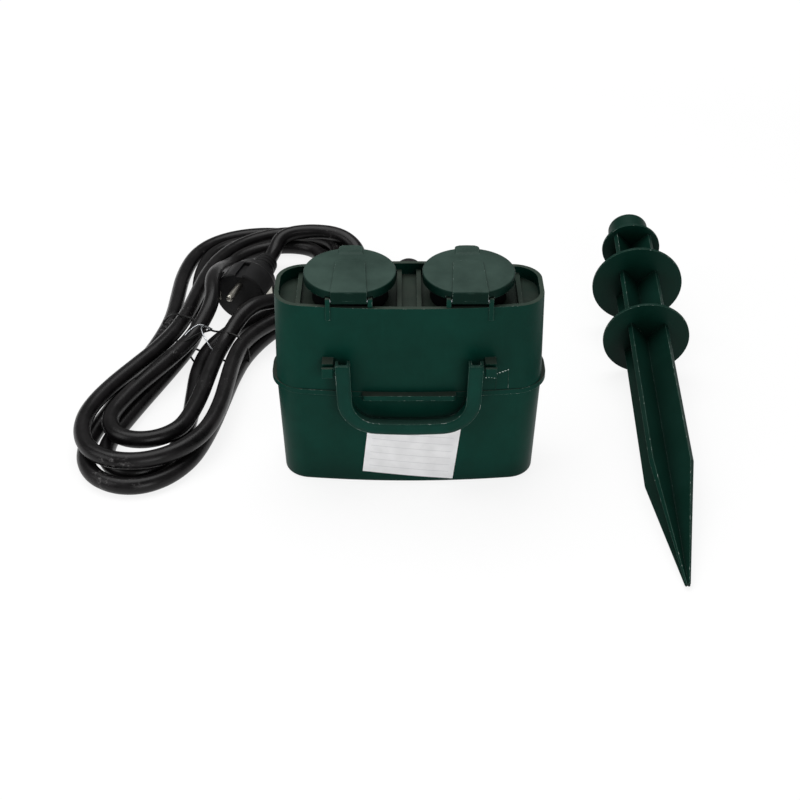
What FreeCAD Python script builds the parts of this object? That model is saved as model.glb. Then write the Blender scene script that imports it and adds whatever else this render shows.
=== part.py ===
import FreeCAD, Part
import math
import os

# Garden socket box on a ground spike, with its lead in a tied hank (mm)
# Origin in the middle of the underside of the box, +X right, +Y rear, +Z up
os.makedirs("parts", exist_ok=True)
V = FreeCAD.Vector
X = V(1, 0, 0)
Y = V(0, 1, 0)
Z = V(0, 0, 1)

# Clearances
RUNNING_FIT = 0.05
SLIP_FIT = 0.30
LID_GAP = 0.30

# Housing: length and depth at the seam, less at the base and at the rim
LENGTH = 152.7
DEPTH = 55.5
BASE_DRAFT = 4.65
RIM_DRAFT = 2.0
SEAM_SIZE = (LENGTH, DEPTH)
BASE_SIZE = (LENGTH - BASE_DRAFT, DEPTH - BASE_DRAFT)
RIM_SIZE = (LENGTH - RIM_DRAFT, DEPTH - RIM_DRAFT)
SEAM_Z = 66.4
RIM_Z = 120.6
WALL = 2.5
FLOOR_THICK = 3.0
CORNER_R = 16.0
BOW_R = 530.0
BASE_ROUND = 2.0
FLANGE_PROUD = (2.8, 0.5)
FLANGE_THICK = 3.2
FLANGE_CORNER_R = 21.0
LIP_HALF = 26.5
LIP_PROUD = 4.2
LIP_ROUND = 1.8
GASKET_THICK = 1.0
GASKET_WIDTH = 1.2

# Deck with its two socket holes
DECK_Z = RIM_Z - 7.1
DECK_THICK = 2.5
DECK_BOTTOM = DECK_Z - DECK_THICK
DECK_RIB_X = (5.5, LENGTH / 2 - 14.35)
DECK_RIB_WIDTH = 2.6
DECK_RIB_HEIGHT = 3.0
SOCKET_X = 33.2

# Lid heights above the rim, and the collar that the lid seal faces
LID_TOP = RIM_Z + 9.25
LID_BOTTOM = LID_TOP - 5.0
LID_PLATE = 1.8
SEAL_THICK = 1.4
HINGE_Y = -23.8
HINGE_Z = LID_BOTTOM - 0.75

# Socket inserts
WELL_R = 19.8
WELL_DEPTH = 17.5
COLLAR_R = 21.4
COLLAR_TOP = LID_TOP - LID_PLATE - SEAL_THICK - LID_GAP
WELL_FLOOR = 3.0
INSERT_FLANGE_R = 23.5
INSERT_FLANGE_THICK = 2.0
PIN_PITCH = 19.0
PIN_HOLE_R = 2.7
KEY_WIDTH = 4.4
KEY_DEPTH = 1.9
KEY_HEIGHT = 14.0
WELL_Z = COLLAR_TOP - WELL_DEPTH
INSERT_BOTTOM = WELL_Z - WELL_FLOOR

# Earth clips
CLIP_WIDTH = 7.0
CLIP_THICK = 0.8
CLIP_Y = 18.1
CLIP_TOP = COLLAR_TOP - 4.85
CLIP_BULGE = 0.7
EARTH_LINK_Y = 6.5
EARTH_LINK_WIDTH = 4.0

# Contact carrier and busbars
POST_LENGTH = 23.0
POST_R = 3.5
POST_X = LENGTH / 2 - 14.85
POST_Y = 16.0
POST_PLACES = ((0, POST_Y), (0, -POST_Y), (POST_X, 0), (-POST_X, 0))
CARRIER_TOP = DECK_BOTTOM - POST_LENGTH
CARRIER_THICK = 2.5
CARRIER_LENGTH = 2 * POST_X - 15.0
CARRIER_WIDTH = 2 * POST_Y + 8.0
CARRIER_TONGUE = (POST_X + 4.5, 6.0)
BUSBAR_THICK = 0.8
BUSBAR_Y = 5.0
BUSBAR_WIDTH = 6.0
TULIP_R = 3.2
TULIP_BORE_R = 2.35
TULIP_TOP = INSERT_BOTTOM - 1.85
TULIP_SLIT = 1.0

# Screws
BOSS_X = LENGTH / 2 - 15.35
BOSS_Y = 14.0
BOSS_PLACES = ((BOSS_X, BOSS_Y), (BOSS_X, -BOSS_Y), (-BOSS_X, BOSS_Y), (-BOSS_X, -BOSS_Y))
BOSS_R = 4.8
SCREW_R = 1.7
SCREW_HOLE_R = 2.0
SCREW_HEAD_R = 3.1
SCREW_HEAD_H = 2.4
COUNTERBORE_R = 3.4
SCREW_SEAT_Z = 50.0
SCREW_BITE = 12.0

# Spike socket under the box
STUB_R = 13.8
STUB_BORE_R = 11.3
SPIKE_BORE_R = STUB_R + SLIP_FIT
SPIKE_BORE_DEPTH = 24.0
SLEEVE_WALL = 2.4

# Lids and their hinges
LID_R = 26.0
LID_INNER_R = 24.0
LID_EDGE_R = 1.0
SEAL_R = (19.9, 22.9)
STRAP_RISE = 0.6
STRAP_HALF = (9.85, 8.25)
STRAP_END_Y = 10.0
TAB_WIDTH = 13.5
TAB_REACH = 29.9
TAB_THICK = 2.6
KNUCKLE_R = 1.95
HINGE_PIN_R = 0.9
EAR_R = 1.8
EAR_SPAN = (10.4, 12.9)

# Handle and its lugs
PIVOT_Y = -DEPTH / 2 - 6.55
PIVOT_Z = RIM_Z - 35.4
HANDLE_OUT = 41.1
HANDLE_IN = 33.0
HANDLE_TOP = PIVOT_Z + 4.5
BAR_Z = (PIVOT_Z - 41.8, PIVOT_Z - 34.8)
BAR_BOW = (1.6, -0.4)
LEG_LEAN = 1.2
HANDLE_DEEP = 6.0
HANDLE_WEB = 2.0
HANDLE_SIDE = 1.6
HANDLE_CORNER_R = 23.0
BOW_CORNER_R = 220.0
PIVOT_R = 2.0
LUG_X = (HANDLE_OUT + 1.3, HANDLE_OUT + 7.5)
LUG_R = 3.3
LUG_SLOT = 3.4
LUG_ROUND = 0.8

# Cable gland at the rear, with its sleeve pointing down and back
CORD_R = 5.25
GLAND_Z = RIM_Z - 14.6
GLAND_R = 10.5
GLAND_PAD_R = 11.5
GLAND_PAD_Y = DEPTH / 2 + 0.25
GLAND_END_Y = GLAND_PAD_Y + 8.0
GLAND_ROUND = 1.4
ELBOW_Y = GLAND_END_Y + 2.0
GLAND_NECK_R = 4.6
GLAND_NECK = 5.0
ELBOW_R = 9.0
SLEEVE_LENGTH = 24.0
SLEEVE_R = (8.2, 6.6)

# Spike: distances along its axis from the tip
SPIKE_TIP_X = 150.1
SPIKE_TIP_Y = -119.0
SPIKE_YAW = 1.37
SPIKE_TAPER = 85.0
ARM_HALF = 16.8
ARM_THICK = 3.0
TIP_HALF = 1.6
TIP_THICK = 1.0
DISC_THICK = 2.2
DISCS = ((211.5, 27.9), (269.4, 30.2), (312.3, 20.0))
SPIKE_LENGTH = 334.0

# Hank: local axes on the floor, s along the hank to the rear, w to its right
HANK_X = -129.3
HANK_Y = 107.8
HANK_TURN = 16.7
HANK_LOOPS = 4
HANK_STATIONS = 8

# Loops of the lower and the upper layer: place along, half width and what each turn inward changes
REAR_SHOULDER = ((119.0, 63.0, -11.6), (95.0, 62.0, -11.5))
REAR_END = ((174.0, -11.6), (176.4, -21.0))
FRONT_SHOULDER = ((-105.0, 42.75, -13.0), (-92.0, 45.25, -15.5))
FRONT_END = ((-158.1, 13.0), (-149.3, 22.0))
FRONT_SHIFT = (0.0, -5.0)
WAIST_PLACES = (-39.0, 33.0, -15.0, 1.0, -18.5, 15.5, -32.5, 32.5)
CORD_D = 2 * CORD_R
LAYER_GAP = 0.6
WAIST_LIFT = 1.8
ARC_SHARE = 0.45

# Cord between gland and hank, then hank and plug, as points on its middle line
LEAD_POINTS = ((0, 78, 66), (-12, 105, 36), (-38, 140, 8), (-43.3, 175, 5.25))
PLUG_LEAD_POINTS = ((124, 62.5, 16.35), (141, 59, 23), (154, 41, 27.9), (152, 17, 27.9), (133, -1, 27.9),
                    (117, -2, 18.5))

# Plug: distances along its axis from the face, radii of the body and the boot
PLUG_S = 52.0
PLUG_W = -2.0
PLUG_R = 18.5
PLUG_PROFILE = ((0, 17.6), (0.9, 18.5), (19.0, 18.5), (21.0, 17.6), (27.0, 16.2), (31.0, 12.5), (32.0, 9.6))
BOOT_SPAN = (32.0, 53.0)
BOOT_R = (9.0, 6.8)
BOOT_RIBS = 5
RIB_HEIGHT = 0.9
PLUG_PIN_R = 2.4
PLUG_PIN_LENGTH = 19.0
PLUG_PIN_ROOT = 6.0
PLUG_SLOT = (5.0, 2.2, 17.0)
PLUG_EARTH = (7.6, 1.5, 17.0)
STRIP_THICK = 0.8

# Tie round the waist of the hank
TIE_WIRE = 1.6
TIE_WIDTH = 3.0
TIE_CLEAR = 0.2
TIE_CORNER_R = 4.0


def save(name, shape):
    shape.exportStep("parts/" + name + ".step")
    print(name, "valid", shape.isValid(), "volume", round(shape.Volume, 1))


def lowest(shape):
    return round(shape.optimalBoundingBox().ZMin, 2)


def box(x, y, z):
    return Part.makeBox(x[1] - x[0], y[1] - y[0], z[1] - z[0], V(x[0], y[0], z[0]))


def rod(radius, start, end):
    return Part.makeCylinder(radius, (end - start).Length, start, end - start)


def upright(radius, x, y, z):
    return rod(radius, V(x, y, z[0]), V(x, y, z[1]))


def arc(start, middle, end):
    return Part.Arc(start, middle, end).toShape()


def line(start, end):
    return Part.LineSegment(start, end).toShape()


def polygon(points):
    return Part.Face(Part.makePolygon(points + [points[0]]))


# Rounded outline with bowed front and rear, drawn in by inset all round
def outline(size, z, inset=0.0, corner_r=CORNER_R):
    half_x = size[0] / 2 - inset
    half_y = size[1] / 2 - inset
    corner = corner_r - inset
    bow = BOW_R - inset
    centre_x = half_x - corner
    centre_y = half_y - bow + math.sqrt((bow - corner) ** 2 - centre_x**2)
    turn = math.atan2(centre_x, centre_y + bow - half_y)
    bow_x = bow * math.sin(turn)
    bow_y = half_y - bow + bow * math.cos(turn)
    middle = (turn + math.pi / 2) / 2
    mid_x = centre_x + corner * math.sin(middle)
    mid_y = centre_y + corner * math.cos(middle)
    edges = []
    for sx, sy in ((1, -1), (1, 1), (-1, 1), (-1, -1)):
        near = V(sx * bow_x, sy * bow_y, z)
        bend = V(sx * mid_x, sy * mid_y, z)
        far = V(sx * half_x, sy * centre_y, z)
        if sx * sy < 0:
            edges.append(arc(near, bend, far))
            edges.append(line(far, V(sx * half_x, -sy * centre_y, z)))
        else:
            edges.append(arc(far, bend, near))
            edges.append(arc(near, V(0, sy * half_y, z), V(-sx * bow_x, sy * bow_y, z)))
    return Part.Wire(edges)


def shell_body(lower, upper, z, inset=0.0):
    return Part.makeLoft([outline(lower, z[0], inset), outline(upper, z[1], inset)], True, True)


# Size of the walls between two of the given outlines, at one height
def size_at(z, lower, upper, span):
    part = (z - span[0]) / (span[1] - span[0])
    return tuple(a + (b - a) * part for a, b in zip(lower, upper))


# Lower housing: bowed walls, floor, seam flange with its lip, spike sleeve and screw columns
flange_z = SEAM_Z - FLANGE_THICK
round_size = size_at(BASE_ROUND, BASE_SIZE, SEAM_SIZE, (0, SEAM_Z))
floor_size = size_at(FLOOR_THICK, BASE_SIZE, SEAM_SIZE, (0, SEAM_Z))
lower = shell_body(BASE_SIZE, SEAM_SIZE, (0, SEAM_Z))
bottom_edges = [e for e in lower.Edges if e.BoundBox.ZMax < 0.01]
lower = lower.makeFillet(BASE_ROUND, bottom_edges)
flange_size = (LENGTH + 2 * FLANGE_PROUD[0], DEPTH + 2 * FLANGE_PROUD[1])
flange_outline = outline(flange_size, flange_z, 0, FLANGE_CORNER_R)
lower = lower.fuse(Part.Face(flange_outline).extrude(Z * FLANGE_THICK))
lip_y = DEPTH / 2 + LIP_PROUD
lip = box((-LIP_HALF, LIP_HALF), (-lip_y, 1 - DEPTH / 2), (flange_z, SEAM_Z))
lip_corners = [e for e in lip.Edges if e.BoundBox.XLength < 0.01 and e.BoundBox.YMax < 1 - lip_y
               and e.BoundBox.ZLength > 1]
lower = lower.fuse(lip.makeFillet(LIP_ROUND, lip_corners))
cavity = shell_body(floor_size, SEAM_SIZE, (FLOOR_THICK, SEAM_Z), WALL)
lower = lower.cut(cavity)
sleeve_r = SPIKE_BORE_R + SLEEVE_WALL
lower = lower.fuse(upright(sleeve_r, 0, 0, (0.5 * FLOOR_THICK, SPIKE_BORE_DEPTH + FLOOR_THICK)))
inside = shell_body(BASE_SIZE, SEAM_SIZE, (0, SEAM_Z), WALL / 2)
for side in (1, -1):
    rib = box((0, LENGTH / 2 - 1), (-WALL / 2, WALL / 2), (FLOOR_THICK / 2, SPIKE_BORE_DEPTH / 2))
    rib.rotate(V(0, 0, 0), Z, 90 - 90 * side)
    lower = lower.fuse(rib.common(inside))
for x, y in BOSS_PLACES:
    lower = lower.fuse(upright(BOSS_R, x, y, (FLOOR_THICK / 2, SEAM_Z)))
    web = box((min(x, x * 1.22), max(x, x * 1.22)), (y - WALL / 2, y + WALL / 2), (FLOOR_THICK / 2, flange_z))
    lower = lower.fuse(web.common(inside))
lower = lower.cut(upright(SPIKE_BORE_R, 0, 0, (-1, SPIKE_BORE_DEPTH)))
for x, y in BOSS_PLACES:
    lower = lower.cut(upright(COUNTERBORE_R, x, y, (-1, SCREW_SEAT_Z)))
    lower = lower.cut(upright(SCREW_HOLE_R, x, y, (SCREW_SEAT_Z - 1, SEAM_Z + 1)))

# Gasket: a flat ring in a groove at the top of the lower housing
gasket_inset = (WALL - GASKET_WIDTH) / 2


def ring_between(size, outer_inset, inner_inset, z):
    outer = Part.Face(outline(size, z[0], outer_inset)).extrude(Z * (z[1] - z[0]))
    inner = Part.Face(outline(size, z[0], inner_inset)).extrude(Z * (z[1] - z[0]))
    return outer.cut(inner)


gasket_z = (SEAM_Z - GASKET_THICK, SEAM_Z)
gasket = ring_between(SEAM_SIZE, gasket_inset, gasket_inset + GASKET_WIDTH, gasket_z)
lower = lower.cut(gasket)
save("lower_housing", lower)
save("housing_gasket", gasket)

# Upper housing: walls to the open rim, deck with ribs, hinge ears, lugs, columns and gland pad
upper = shell_body(SEAM_SIZE, RIM_SIZE, (SEAM_Z, RIM_Z))
hollow = shell_body(SEAM_SIZE, RIM_SIZE, (SEAM_Z, RIM_Z), WALL)
deck_zone = box((-LENGTH, LENGTH), (-DEPTH, DEPTH), (DECK_BOTTOM, DECK_Z))
room = shell_body(SEAM_SIZE, RIM_SIZE, (SEAM_Z, RIM_Z), WALL / 2)
pad_start = V(0, DEPTH / 2 - WALL * 1.5, GLAND_Z)
upper = upper.fuse(rod(GLAND_PAD_R, pad_start, V(0, GLAND_PAD_Y, GLAND_Z)))
lug_wall_y = WALL - DEPTH / 2
for side in (1, -1):
    lug_x = sorted((side * LUG_X[0], side * LUG_X[1]))
    lug_z = (PIVOT_Z - LUG_R, PIVOT_Z + LUG_R)
    lug = box(lug_x, (PIVOT_Y - LUG_R, lug_wall_y), lug_z)
    upper = upper.fuse(lug.makeFillet(LUG_ROUND, [e for e in lug.Edges if e.BoundBox.YMax < PIVOT_Y]))
upper = upper.cut(hollow.cut(deck_zone))
for side in (1, -1):
    lug_x = sorted((side * (LUG_X[0] - 1), side * (LUG_X[1] + 1)))
    seat = rod(PIVOT_R + RUNNING_FIT, V(lug_x[0], PIVOT_Y, PIVOT_Z), V(lug_x[1], PIVOT_Y, PIVOT_Z))
    slot_y = (PIVOT_Y - LUG_SLOT / 2, PIVOT_Y + LUG_SLOT / 2)
    upper = upper.cut(seat.fuse(box(lug_x, slot_y, (PIVOT_Z, PIVOT_Z + 2 * LUG_R))))
for rib_x in DECK_RIB_X:
    for side in (1, -1):
        rib_span = (side * rib_x - DECK_RIB_WIDTH / 2, side * rib_x + DECK_RIB_WIDTH / 2)
        rib = box(rib_span, (-DEPTH, DEPTH), (DECK_Z - 1, DECK_Z + DECK_RIB_HEIGHT))
        upper = upper.fuse(rib.common(room))
for centre in (SOCKET_X, -SOCKET_X):
    for side in (1, -1):
        ear_x = sorted((centre + side * EAR_SPAN[0], centre + side * EAR_SPAN[1]))
        ear = box(ear_x, (HINGE_Y - EAR_R, HINGE_Y + EAR_R), (DECK_Z - 1, HINGE_Z))
        ear = ear.fuse(rod(EAR_R, V(ear_x[0], HINGE_Y, HINGE_Z), V(ear_x[1], HINGE_Y, HINGE_Z)))
        upper = upper.fuse(ear)
column_top = DECK_BOTTOM + DECK_THICK / 2
for x, y in BOSS_PLACES:
    upper = upper.fuse(upright(BOSS_R, x, y, (SEAM_Z, column_top)))
    web = box((min(x, x * 1.22), max(x, x * 1.22)), (y - WALL / 2, y + WALL / 2), (SEAM_Z, column_top))
    upper = upper.fuse(web.common(room))
for x, y in POST_PLACES:
    upper = upper.fuse(upright(POST_R, x, y, (CARRIER_TOP, column_top)))
for side in (1, -1):
    upper = upper.cut(upright(COLLAR_R + RUNNING_FIT, side * SOCKET_X, 0, (DECK_BOTTOM - 1, RIM_Z)))
    pin_end = X * (EAR_SPAN[1] + 1)
    hinge = V(side * SOCKET_X, HINGE_Y, HINGE_Z)
    upper = upper.cut(rod(HINGE_PIN_R, hinge - pin_end, hinge + pin_end))
for x, y in BOSS_PLACES:
    upper = upper.cut(upright(SCREW_R, x, y, (SEAM_Z - 1, SEAM_Z + SCREW_BITE + 2)))
for x, y in POST_PLACES:
    upper = upper.cut(upright(SCREW_R, x, y, (CARRIER_TOP - 1, CARRIER_TOP + SCREW_BITE)))
neck_y = GLAND_PAD_Y - GLAND_NECK
upper = upper.cut(rod(GLAND_NECK_R, V(0, neck_y - 1, GLAND_Z), V(0, GLAND_END_Y, GLAND_Z)))
save("upper_housing", upper)
print("upper solids", len(upper.Solids), "lower solids", len(lower.Solids))

# Housing screws from below, seated at the foot of their deep counterbores
screws = []
for x, y in BOSS_PLACES:
    head = upright(SCREW_HEAD_R, x, y, (SCREW_SEAT_Z - SCREW_HEAD_H, SCREW_SEAT_Z))
    screws.append(head.fuse(upright(SCREW_R, x, y, (SCREW_SEAT_Z, SEAM_Z + SCREW_BITE))))
save("housing_screws", Part.makeCompound(screws))


# Socket insert: a deep round well with guide ribs, pin holes, clip slots and a flange under the deck
def socket_insert(x):
    body = upright(COLLAR_R, x, 0, (INSERT_BOTTOM, COLLAR_TOP))
    flange_span = (DECK_BOTTOM - INSERT_FLANGE_THICK, DECK_BOTTOM)
    body = body.fuse(upright(INSERT_FLANGE_R, x, 0, flange_span))
    body = body.cut(upright(WELL_R, x, 0, (WELL_Z, COLLAR_TOP + 1)))
    for side in (1, -1):
        key_x = sorted((x + side * (WELL_R - KEY_DEPTH), x + side * (WELL_R + 0.5)))
        key = box(key_x, (-KEY_WIDTH / 2, KEY_WIDTH / 2), (WELL_Z, WELL_Z + KEY_HEIGHT))
        body = body.fuse(key)
    for side in (1, -1):
        body = body.cut(upright(PIN_HOLE_R, x + side * PIN_PITCH / 2, 0, (INSERT_BOTTOM - 1, WELL_Z + 1)))
        slot_x = (x - CLIP_WIDTH / 2, x + CLIP_WIDTH / 2)
        slot_y = sorted((side * CLIP_Y, side * (CLIP_Y + CLIP_THICK)))
        body = body.cut(box(slot_x, slot_y, (INSERT_BOTTOM - 1, WELL_Z + 1)))
    return body


save("left_socket_insert", socket_insert(-SOCKET_X))
save("right_socket_insert", socket_insert(SOCKET_X))


# Earth strip: a sprung clip pair for each well, bent from one strip with a link between the wells
def earth_clip(side, x):
    y = side * CLIP_Y
    outer = side * (CLIP_Y + CLIP_THICK)
    inner_bulge = side * (CLIP_Y - CLIP_BULGE)
    outer_bulge = side * (CLIP_Y + CLIP_THICK - CLIP_BULGE)
    start_z = INSERT_BOTTOM - CLIP_THICK
    bulge_z = CLIP_TOP - 4.0
    bend_z = WELL_Z + 2.0
    start = x - CLIP_WIDTH / 2
    profile = [V(start, y, start_z), V(start, y, bend_z), V(start, inner_bulge, bulge_z), V(start, y, CLIP_TOP),
               V(start, outer, CLIP_TOP), V(start, outer_bulge, bulge_z), V(start, outer, bend_z),
               V(start, outer, start_z)]
    return polygon(profile).extrude(X * CLIP_WIDTH)


strip_z = (INSERT_BOTTOM - CLIP_THICK, INSERT_BOTTOM)
earth = box((-SOCKET_X, SOCKET_X), (EARTH_LINK_Y, EARTH_LINK_Y + EARTH_LINK_WIDTH), strip_z)
for x in (SOCKET_X, -SOCKET_X):
    cross_y = (-CLIP_Y - CLIP_THICK, CLIP_Y + CLIP_THICK)
    earth = earth.fuse(box((x - CLIP_WIDTH / 2, x + CLIP_WIDTH / 2), cross_y, strip_z))
    for side in (1, -1):
        earth = earth.fuse(earth_clip(side, x))
save("earth_strip", earth.removeSplitter())

# Contact carrier: a plate with end tongues, held up to the deck posts by four screws
carrier_z = (CARRIER_TOP - CARRIER_THICK, CARRIER_TOP)
half_length = CARRIER_LENGTH / 2
carrier = box((-half_length, half_length), (-CARRIER_WIDTH / 2, CARRIER_WIDTH / 2), carrier_z)
carrier = carrier.makeFillet(4.0, [e for e in carrier.Edges if e.BoundBox.ZLength > 1])
tongue = box((-CARRIER_TONGUE[0], CARRIER_TONGUE[0]), (-CARRIER_TONGUE[1], CARRIER_TONGUE[1]), carrier_z)
carrier = carrier.fuse(tongue.makeFillet(3.0, [e for e in tongue.Edges if e.BoundBox.ZLength > 1]))
carrier = carrier.removeSplitter()
carrier_screws = []
for x, y in POST_PLACES:
    carrier = carrier.cut(upright(SCREW_HOLE_R, x, y, (carrier_z[0] - 1, CARRIER_TOP + 1)))
    head = upright(SCREW_HEAD_R, x, y, (carrier_z[0] - SCREW_HEAD_H, carrier_z[0]))
    carrier_screws.append(head.fuse(upright(SCREW_R, x, y, (carrier_z[0], CARRIER_TOP + SCREW_BITE - 2))))
save("contact_carrier", carrier)
save("carrier_screws", Part.makeCompound(carrier_screws))


# Busbar: a flat strip on the carrier with a slit contact sleeve under one hole of each well
def busbar(side, hole_xs):
    bar_z = (CARRIER_TOP, CARRIER_TOP + BUSBAR_THICK)
    bar_y = sorted((side * BUSBAR_Y, side * (BUSBAR_Y + BUSBAR_WIDTH)))
    bar = box((min(hole_xs) - TULIP_R, max(hole_xs) + TULIP_R), bar_y, bar_z)
    for x in hole_xs:
        tab_y = sorted((-side * TULIP_R, side * (BUSBAR_Y + 1)))
        bar = bar.fuse(box((x - TULIP_R, x + TULIP_R), tab_y, bar_z))
        sleeve_z = (bar_z[1] - BUSBAR_THICK / 2, TULIP_TOP)
        sleeve = upright(TULIP_R, x, 0, sleeve_z)
        sleeve = sleeve.cut(upright(TULIP_BORE_R, x, 0, (bar_z[1], TULIP_TOP + 1)))
        slit_z = (bar_z[1] + 4.0, TULIP_TOP + 1)
        sleeve = sleeve.cut(box((x - TULIP_SLIT / 2, x + TULIP_SLIT / 2), (-TULIP_R - 1, TULIP_R + 1), slit_z))
        bar = bar.fuse(sleeve)
    return bar.removeSplitter()


half_pitch = PIN_PITCH / 2
save("live_busbar", busbar(1, (half_pitch - SOCKET_X, half_pitch + SOCKET_X)))
save("neutral_busbar", busbar(-1, (-half_pitch - SOCKET_X, SOCKET_X - half_pitch)))

# Cable gland: neck through the wall, round base, elbow and a tapered sleeve that points down and back
elbow = V(0, ELBOW_Y, GLAND_Z)
sleeve_way = V(0, 1, -1).normalize()
gland_mouth = elbow + sleeve_way * SLEEVE_LENGTH
gland = rod(GLAND_R, V(0, GLAND_PAD_Y, GLAND_Z), V(0, GLAND_END_Y, GLAND_Z))
gland = gland.makeFillet(GLAND_ROUND, [e for e in gland.Edges if e.BoundBox.YMin > GLAND_END_Y - 0.01])
gland = gland.fuse(Part.makeSphere(ELBOW_R, elbow, Y))
gland = gland.fuse(Part.makeCone(SLEEVE_R[0], SLEEVE_R[1], SLEEVE_LENGTH, elbow, sleeve_way))
gland = gland.fuse(rod(GLAND_NECK_R, V(0, neck_y, GLAND_Z), V(0, GLAND_PAD_Y + 1, GLAND_Z)))
save("cable_gland", gland)


# Lid: domed disc with a skirt, a raised strap that turns down into the hinge knuckle, and a thumb tab
def lid(x):
    disc = upright(LID_R, x, 0, (LID_BOTTOM, LID_TOP))
    disc = disc.makeFillet(LID_EDGE_R, [e for e in disc.Edges if e.BoundBox.ZMin > LID_TOP - 0.01])
    tab_y = (LID_INNER_R, TAB_REACH)
    tab = box((x - TAB_WIDTH / 2, x + TAB_WIDTH / 2), tab_y, (LID_BOTTOM, LID_BOTTOM + TAB_THICK))
    tab_corners = [e for e in tab.Edges if e.BoundBox.ZLength > 1 and e.BoundBox.YMin > TAB_REACH - 0.01]
    disc = disc.fuse(tab.makeFillet(2.5, tab_corners))
    strap_top = LID_TOP + STRAP_RISE
    front_y = HINGE_Y - KNUCKLE_R
    strap_y = (HINGE_Y, STRAP_END_Y)
    corners = [V(x - STRAP_HALF[0], front_y, LID_TOP - 1), V(x + STRAP_HALF[0], front_y, LID_TOP - 1),
               V(x + STRAP_HALF[1], strap_y[1], LID_TOP - 1), V(x - STRAP_HALF[1], strap_y[1], LID_TOP - 1)]
    strap = polygon(corners).extrude(Z * (strap_top - LID_TOP + 1))
    rear_corners = [e for e in strap.Edges if e.BoundBox.ZLength > 1 and e.BoundBox.YMin > strap_y[1] - 0.01]
    strap = strap.makeFillet(3.0, rear_corners)
    knuckle_x = (x - STRAP_HALF[0], x + STRAP_HALF[0])
    front = box(knuckle_x, (front_y, HINGE_Y + KNUCKLE_R), (HINGE_Z, strap_top))
    top_edge = [e for e in front.Edges if e.BoundBox.YMax < front_y + 0.01 and e.BoundBox.ZMin > strap_top - 0.01]
    front = front.makeFillet(1.6, top_edge)
    strap = strap.cut(box(knuckle_x, (front_y - 1, HINGE_Y + KNUCKLE_R - 0.1), (HINGE_Z, strap_top + 1)))
    body = disc.fuse(strap).fuse(front)
    body = body.fuse(rod(KNUCKLE_R, V(knuckle_x[0], HINGE_Y, HINGE_Z), V(knuckle_x[1], HINGE_Y, HINGE_Z)))
    body = body.cut(upright(LID_INNER_R, x, 0, (LID_BOTTOM - 1, LID_TOP - LID_PLATE)).cut(
        box(knuckle_x, (-LID_R, HINGE_Y + KNUCKLE_R), (HINGE_Z - 5, LID_TOP))))
    sweep_y = (-LID_R - 1, HINGE_Y + EAR_R + SLIP_FIT)
    for side in (1, -1):
        ear_x = sorted((x + side * STRAP_HALF[0], x + side * (EAR_SPAN[1] + 0.4)))
        body = body.cut(box(ear_x, sweep_y, (LID_BOTTOM - 1, HINGE_Z + EAR_R + SLIP_FIT)))
    hinge = V(x, HINGE_Y, HINGE_Z)
    return body.cut(rod(HINGE_PIN_R + RUNNING_FIT, hinge - X * EAR_SPAN[1], hinge + X * EAR_SPAN[1]))


for name, x in (("left", -SOCKET_X), ("right", SOCKET_X)):
    save(name + "_lid", lid(x))
    seal_z = (LID_TOP - LID_PLATE - SEAL_THICK, LID_TOP - LID_PLATE)
    seal = upright(SEAL_R[1], x, 0, seal_z).cut(upright(SEAL_R[0], x, 0, seal_z))
    seal = seal.cut(box((x - LID_R, x + LID_R), (-LID_R, HINGE_Y + KNUCKLE_R + SLIP_FIT), seal_z))
    save(name + "_lid_seal", seal)
    hinge = V(x, HINGE_Y, HINGE_Z)
    save(name + "_hinge_pin", rod(HINGE_PIN_R, hinge - X * EAR_SPAN[1], hinge + X * EAR_SPAN[1]))


# Path through the points, each corner between the ends rounded by its radius
def rounded_path(points, radii):
    edges = []
    last = points[0]
    for before, corner, after, radius in zip(points, points[1:], points[2:], radii):
        into = (corner - before).normalize()
        out = (after - corner).normalize()
        half_turn = into.getAngle(out) / 2
        cut = radius * math.tan(half_turn)
        inward = (out - into).normalize()
        start = corner - into * cut
        end = corner + out * cut
        edges.append(line(last, start))
        edges.append(arc(start, corner + inward * (radius / math.cos(half_turn) - radius), end))
        last = end
    edges.append(line(last, points[-1]))
    return edges


# Handle: bail of channel section, open to the rear and at the leg tops, with a pivot pin on each leg
def bail_side(out, low, corner_r, top, y):
    foot = out - LEG_LEAN
    points = [V(-out, y, top), V(-foot, y, low + BAR_BOW[0]), V(0, y, low + BAR_BOW[1]),
              V(foot, y, low + BAR_BOW[0]), V(out, y, top)]
    return rounded_path(points, (corner_r, BOW_CORNER_R, corner_r))


def bail_face(inset, top, y):
    inner_r = HANDLE_CORNER_R - (HANDLE_OUT - HANDLE_IN)
    edges = bail_side(HANDLE_OUT - inset, BAR_Z[0] + inset, HANDLE_CORNER_R - inset, top, y)
    edges += bail_side(HANDLE_IN + inset, BAR_Z[1] - inset, inner_r + inset, top, y)
    for side in (1, -1):
        edges.append(line(V(side * (HANDLE_OUT - inset), y, top), V(side * (HANDLE_IN + inset), y, top)))
    return Part.Face(Part.Wire(Part.__sortEdges__(edges)))


front_y = PIVOT_Y - HANDLE_DEEP / 2
handle = bail_face(0, HANDLE_TOP, front_y).extrude(Y * HANDLE_DEEP)
channel = bail_face(HANDLE_SIDE, HANDLE_TOP + 1, front_y + HANDLE_WEB).extrude(Y * HANDLE_DEEP)
handle = handle.cut(channel)
for side in (1, -1):
    boss_x = (side * (HANDLE_IN + 0.5), side * (LUG_X[1] - 0.6))
    handle = handle.fuse(rod(PIVOT_R, V(boss_x[0], PIVOT_Y, PIVOT_Z), V(boss_x[1], PIVOT_Y, PIVOT_Z)))
save("handle", handle)
print("handle solids", len(handle.Solids))


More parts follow.
